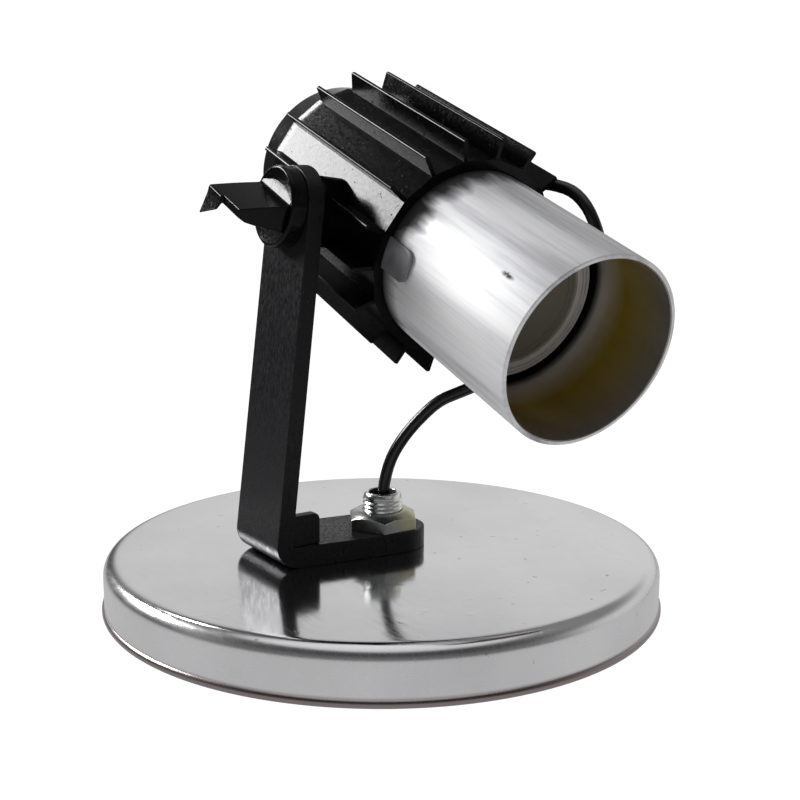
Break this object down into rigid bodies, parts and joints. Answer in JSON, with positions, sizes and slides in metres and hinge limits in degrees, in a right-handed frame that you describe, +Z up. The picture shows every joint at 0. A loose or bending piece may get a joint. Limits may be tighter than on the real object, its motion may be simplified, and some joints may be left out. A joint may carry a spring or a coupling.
{
  "type": "table spotlight",
  "caption": "Table spotlight with an aluminium dish base, black swivel arm, finned black head, bright tube shade and a reflector lamp inside",
  "frame": {"origin": "on the table, at the centre of the underside of the round base", "axes": "+Z up along the axis of the base and its clamp nut; the lamp shines toward -Y; the upright of the arm stands on the -X side; +X completes the right-handed frame"},
  "size_m": [0.1816, 0.1832, 0.1709],
  "materials": {
    "base_aluminium": "satin, lightly scuffed",
    "tube_aluminium": "bright drawn tube",
    "head_plastic": "black, half gloss",
    "arm_plastic": "black, fine grain",
    "zinc_steel": "zinc plated",
    "clip_steel": "dull spring steel",
    "black_rubber": "matte",
    "flex_pvc": "black sheath, glossy",
    "wire_pvc": "insulated cores",
    "pad_foam": "matte foam",
    "lamp_shell": "pale grey",
    "lamp_glass": "frosted front glass",
    "holder_ceramic": "white ceramic",
    "contact_brass": "plain"
  },
  "bodies": {
    "base": {"base_dish": "base_aluminium", "base_pad": "pad_foam", "inlet_grommet": "black_rubber", "nipple": "zinc_steel", "clamp_nut": "zinc_steel", "lock_washer": "zinc_steel", "lock_nut": "zinc_steel"},
    "arm": {"arm": "arm_plastic", "flex": "flex_pvc"},
    "wing_screw": {"wing_grip": "head_plastic", "wing_stud": "zinc_steel"},
    "head": {"housing": "head_plastic", "pivot_nut": "zinc_steel", "pivot_pad": "black_rubber", "rear_cap": "head_plastic", "tube": "tube_aluminium", "tube_clip": "clip_steel", "lamp_body": "lamp_shell", "lamp_bezel": "lamp_shell", "lamp_lens": "lamp_glass", "lamp_pins": "zinc_steel", "lampholder": "holder_ceramic", "holder_contacts": "contact_brass", "holder_bracket": "zinc_steel", "bracket_screws": "zinc_steel", "holder_screws": "zinc_steel", "flex_bush": "black_rubber", "head_wires": "wire_pvc"}
  },
  "joints": [
    {"name": "pan", "type": "hinge", "parent": "base", "child": "arm", "pos_m": [0, 0, 0.02], "axis": [0, 0, 1], "range_deg": [-170, 170]},
    {"name": "tilt", "type": "hinge", "parent": "arm", "child": "head", "pos_m": [0.01765, 0.008, 0.12119], "axis": [0.9925, 0, -0.1219], "range_deg": [-90, 35], "deforming": ["flex"]},
    {"name": "wing_turn", "type": "hinge", "parent": "arm", "child": "wing_screw", "pos_m": [-0.02969, 0.008, 0.127], "axis": [0.9925, 0, -0.1219], "range_deg": [-180, 180]}
  ]
}
